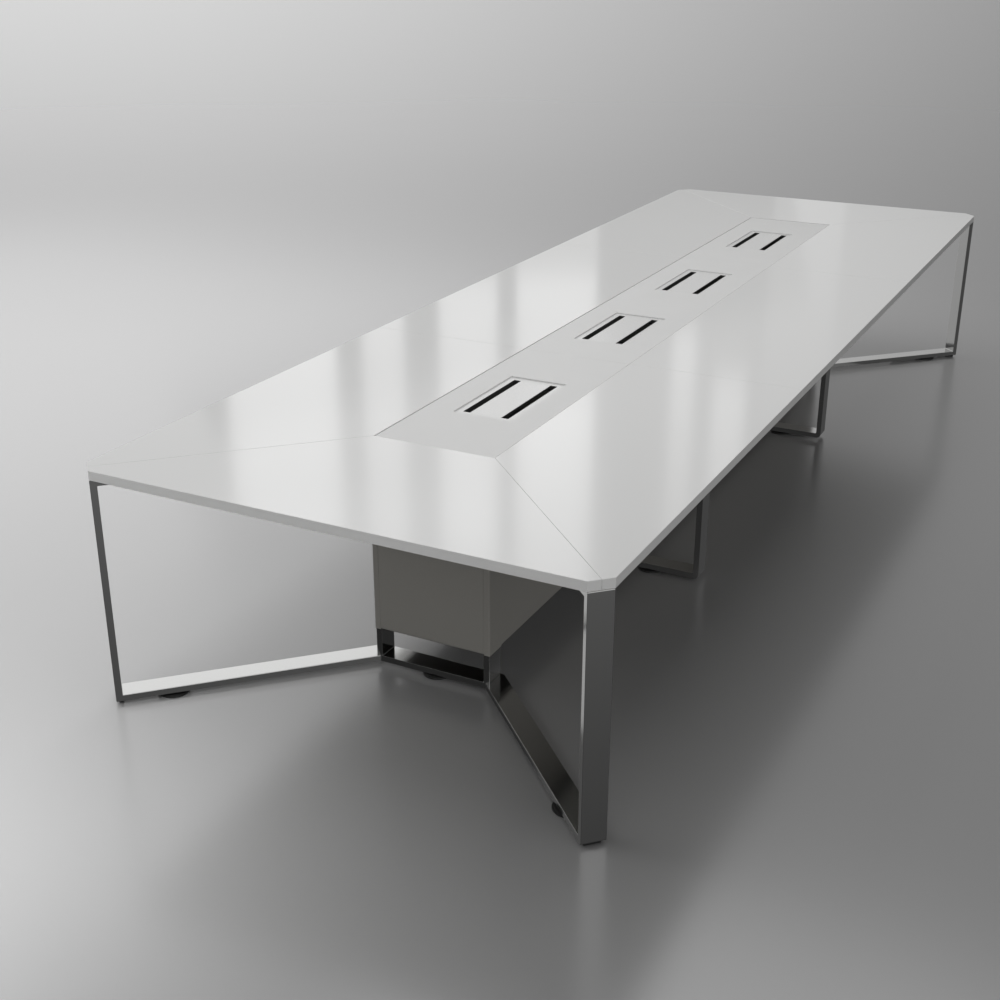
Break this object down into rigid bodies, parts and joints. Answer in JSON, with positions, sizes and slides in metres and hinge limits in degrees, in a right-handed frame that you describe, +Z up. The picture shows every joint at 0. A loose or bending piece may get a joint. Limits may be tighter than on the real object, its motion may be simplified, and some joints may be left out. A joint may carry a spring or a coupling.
{
  "type": "conference table",
  "caption": "Long conference table: gloss white boards round a matt centre strip with hinged cable ports, on chromed flat-tube frames with a taupe cable spine.",
  "frame": {"origin": "on the floor, below the centre of the table top", "axes": "+X along the table's length, +Y across it, +Z up"},
  "size_m": [4.8, 1.6, 0.745],
  "materials": {
    "gloss_white": "white high-gloss lacquer on board",
    "matt_white": "white matt laminate on board",
    "port_white": "white fine-grained ABS",
    "chrome": "polished chrome plate on steel tube",
    "taupe": "taupe-grey satin powder coat on sheet steel",
    "black_plastic": "black moulded nylon",
    "rail_grey": "dark grey matt powder coat on steel"
  },
  "bodies": {
    "table": {"end_board_1": "gloss_white", "end_board_2": "gloss_white", "side_board_left_1": "gloss_white", "side_board_left_2": "gloss_white", "side_board_left_3": "gloss_white", "side_board_right_1": "gloss_white", "side_board_right_2": "gloss_white", "side_board_right_3": "gloss_white", "strip_panel_1": "matt_white", "strip_panel_2": "matt_white", "strip_panel_3": "matt_white", "port_rim_1": "port_white", "port_rim_2": "port_white", "port_rim_3": "port_white", "port_rim_4": "port_white", "corner_leg_left_1": "chrome", "corner_leg_left_2": "chrome", "corner_leg_right_1": "chrome", "corner_leg_right_2": "chrome", "end_loop_1": "chrome", "end_loop_2": "chrome", "middle_loop_1": "chrome", "middle_loop_2": "chrome", "corner_glide_left_1": "black_plastic", "corner_glide_left_2": "black_plastic", "corner_glide_right_1": "black_plastic", "corner_glide_right_2": "black_plastic", "spine_front_1": "taupe", "spine_front_2": "taupe", "spine_side_left_1": "taupe", "spine_side_left_2": "taupe", "spine_side_left_3": "taupe", "spine_side_right_1": "taupe", "spine_side_right_2": "taupe", "spine_side_right_3": "taupe", "top_rail_left_1": "rail_grey", "top_rail_left_2": "rail_grey", "top_rail_left_3": "rail_grey", "top_rail_right_1": "rail_grey", "top_rail_right_2": "rail_grey", "top_rail_right_3": "rail_grey", "cable_tray_1": "rail_grey", "cable_tray_2": "rail_grey", "cable_tray_3": "rail_grey", "cable_tray_4": "rail_grey"},
    "flap_1": {"port_flap_1": "port_white"},
    "flap_2": {"port_flap_2": "port_white"},
    "flap_3": {"port_flap_3": "port_white"},
    "flap_4": {"port_flap_4": "port_white"},
    "leg_foot_left_1": {"leg_foot_left_1": "black_plastic"},
    "leg_foot_left_2": {"leg_foot_left_2": "black_plastic"},
    "leg_foot_right_1": {"leg_foot_right_1": "black_plastic"},
    "leg_foot_right_2": {"leg_foot_right_2": "black_plastic"},
    "loop_foot_1": {"loop_foot_1": "black_plastic"},
    "loop_foot_2": {"loop_foot_2": "black_plastic"},
    "middle_foot_left_1": {"middle_foot_left_1": "black_plastic"},
    "middle_foot_left_2": {"middle_foot_left_2": "black_plastic"},
    "middle_foot_right_1": {"middle_foot_right_1": "black_plastic"},
    "middle_foot_right_2": {"middle_foot_right_2": "black_plastic"}
  },
  "joints": [
    {"name": "flap_1_hinge", "type": "hinge", "parent": "table", "child": "flap_1", "pos_m": [-1.3, -0.0495, 0.7345], "axis": [1, 0, 0], "range_deg": [0, 95]},
    {"name": "flap_2_hinge", "type": "hinge", "parent": "table", "child": "flap_2", "pos_m": [-0.4, -0.0495, 0.7345], "axis": [1, 0, 0], "range_deg": [0, 95]},
    {"name": "flap_3_hinge", "type": "hinge", "parent": "table", "child": "flap_3", "pos_m": [0.4, -0.0495, 0.7345], "axis": [1, 0, 0], "range_deg": [0, 95]},
    {"name": "flap_4_hinge", "type": "hinge", "parent": "table", "child": "flap_4", "pos_m": [1.3, -0.0495, 0.7345], "axis": [1, 0, 0], "range_deg": [0, 95]},
    {"name": "leg_foot_left_1_screw", "type": "slide", "parent": "table", "child": "leg_foot_left_1", "axis": [0, 0, -1], "range_m": [0, 0.01]},
    {"name": "leg_foot_left_2_screw", "type": "slide", "parent": "table", "child": "leg_foot_left_2", "axis": [0, 0, -1], "range_m": [0, 0.01]},
    {"name": "leg_foot_right_1_screw", "type": "slide", "parent": "table", "child": "leg_foot_right_1", "axis": [0, 0, -1], "range_m": [0, 0.01]},
    {"name": "leg_foot_right_2_screw", "type": "slide", "parent": "table", "child": "leg_foot_right_2", "axis": [0, 0, -1], "range_m": [0, 0.01]},
    {"name": "loop_foot_1_screw", "type": "slide", "parent": "table", "child": "loop_foot_1", "axis": [0, 0, -1], "range_m": [0, 0.01]},
    {"name": "loop_foot_2_screw", "type": "slide", "parent": "table", "child": "loop_foot_2", "axis": [0, 0, -1], "range_m": [0, 0.01]},
    {"name": "middle_foot_left_1_screw", "type": "slide", "parent": "table", "child": "middle_foot_left_1", "axis": [0, 0, -1], "range_m": [0, 0.01]},
    {"name": "middle_foot_left_2_screw", "type": "slide", "parent": "table", "child": "middle_foot_left_2", "axis": [0, 0, -1], "range_m": [0, 0.01]},
    {"name": "middle_foot_right_1_screw", "type": "slide", "parent": "table", "child": "middle_foot_right_1", "axis": [0, 0, -1], "range_m": [0, 0.01]},
    {"name": "middle_foot_right_2_screw", "type": "slide", "parent": "table", "child": "middle_foot_right_2", "axis": [0, 0, -1], "range_m": [0, 0.01]}
  ]
}
